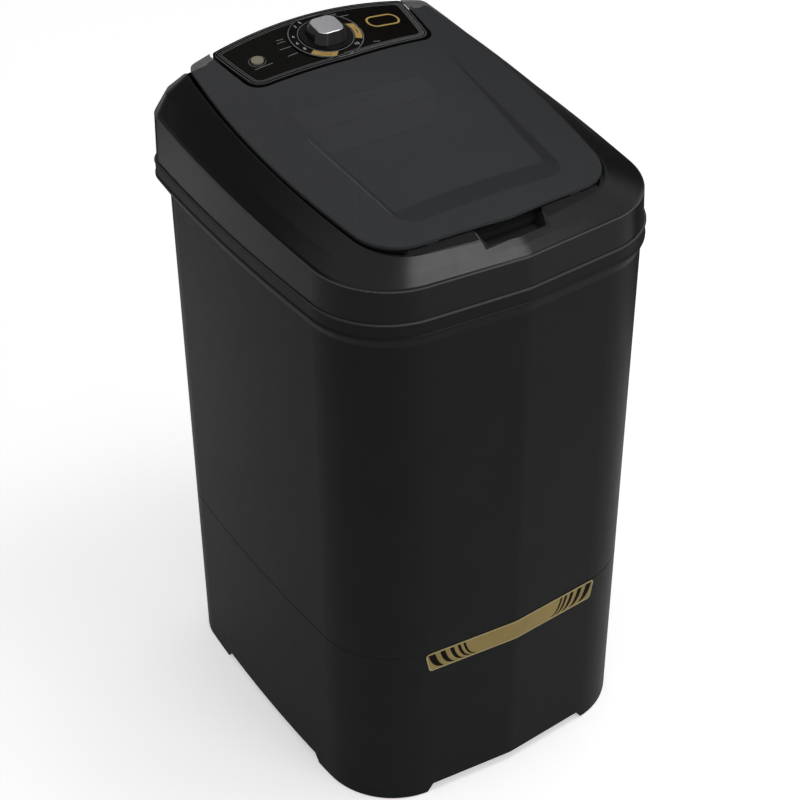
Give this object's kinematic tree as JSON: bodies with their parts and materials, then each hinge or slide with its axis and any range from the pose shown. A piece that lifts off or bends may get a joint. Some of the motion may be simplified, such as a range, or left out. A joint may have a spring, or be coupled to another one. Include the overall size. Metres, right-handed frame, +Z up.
{
  "type": "washing machine",
  "caption": "Top-loading washing machine with a tall tapered tub, corner feet, a hinged crowned lid, a timer-knob panel and a belt-driven impeller.",
  "frame": {"origin": "on the floor, at the centre of the plan", "axes": "+X to the machine's left-to-right as seen from the front, +Y to the back, +Z up"},
  "size_m": [0.5254, 0.5929, 1.0356],
  "materials": {
    "cabinet": "satin black moulded plastic",
    "base": "satin black moulded plastic",
    "frame": "satin black moulded plastic",
    "lid_smoke": "translucent smoke-grey plastic",
    "bezel": "black plastic",
    "fascia": "gloss black sheet",
    "dial": "gloss black with printed rings",
    "knob": "gloss black",
    "silver": "satin silver",
    "button": "pale cream",
    "gold_band": "satin gold foil",
    "dispenser": "grey plastic",
    "inner_plastic": "natural white plastic",
    "impeller": "pale grey plastic",
    "filter": "pale grey plastic",
    "rear_plastic": "black plastic",
    "drain": "dark grey plastic",
    "rubber": "black rubber",
    "belt": "black rubber",
    "steel": "turned steel",
    "zinc": "zinc plated",
    "bracket": "galvanised sheet",
    "cast_alloy": "cast alloy",
    "motor_case": "painted alloy case",
    "bronze": "sintered bronze",
    "capacitor": "plain can"
  },
  "bodies": {
    "cabinet": {"wash_tub": "cabinet", "base_skirt": "base", "foot_pads": "rubber", "rear_cover": "rear_plastic", "cover_screws": "zinc", "front_band": "gold_band", "base_screws": "zinc", "top_frame": "frame", "frame_screws": "zinc", "lid_hinge_pins": "steel", "lid_bumpers": "rubber", "control_panel": "bezel", "panel_fascia": "fascia", "dial_plate": "dial", "timer_body": "inner_plastic", "button_switch": "inner_plastic", "dispenser_housing": "dispenser", "bearing_housing": "cast_alloy", "upper_bush": "bronze", "lower_bush": "bronze", "shaft_seal": "rubber", "bearing_screws": "zinc", "motor": "motor_case", "motor_bracket": "bracket", "bracket_screws": "zinc", "motor_screws": "zinc", "drive_belt": "belt", "capacitor": "capacitor", "capacitor_clip": "bracket", "drain_elbow": "drain", "drain_spigot": "drain", "cord_gland": "rubber", "filter_guide": "filter"},
    "lid": {"lid": "lid_smoke"},
    "knob": {"timer_knob": "knob", "knob_grip": "silver", "knob_cap": "silver", "timer_shaft": "steel"},
    "button": {"push_button": "button"},
    "drawer": {"dispenser_drawer": "dispenser"},
    "agitator": {"impeller": "impeller", "drive_shaft": "steel", "impeller_screw": "impeller", "driven_pulley": "cast_alloy", "pulley_nut": "steel"},
    "rotor": {"motor_shaft": "steel", "motor_pulley": "cast_alloy"},
    "filter": {"lint_filter": "filter"}
  },
  "joints": [
    {"name": "lid_hinge", "type": "hinge", "parent": "cabinet", "child": "lid", "pos_m": [0.175, 0.24, 0.988], "axis": [-1, 0, 0], "range_deg": [0, 95]},
    {"name": "timer_turn", "type": "hinge", "parent": "cabinet", "child": "knob", "pos_m": [0, 0.2025, 1.01364], "axis": [0, 0.1437, -0.9896], "range_deg": [0, 300]},
    {"name": "button_press", "type": "slide", "parent": "cabinet", "child": "button", "axis": [0.1107, 0.1376, -0.9843], "range_m": [0, 0.002], "stiffness_N_per_m": 400, "springref_m": -0.001},
    {"name": "drawer_slide", "type": "slide", "parent": "cabinet", "child": "drawer", "axis": [0, -1, 0], "range_m": [0, 0.045]},
    {"name": "impeller_spin", "type": "hinge", "parent": "cabinet", "child": "agitator", "pos_m": [0, 0, 0.3], "axis": [0, 0, 1], "continuous": true},
    {"name": "rotor_spin", "type": "hinge", "parent": "cabinet", "child": "rotor", "pos_m": [0, 0.15, 0.162], "axis": [0, 0, 1], "continuous": true},
    {"name": "filter_lift", "type": "slide", "parent": "cabinet", "child": "filter", "axis": [0, 0, 1], "range_m": [0, 0.06]}
  ],
  "couplings": [
    {"joint": "rotor_spin", "follows": "impeller_spin", "ratio": 6.0602}
  ]
}
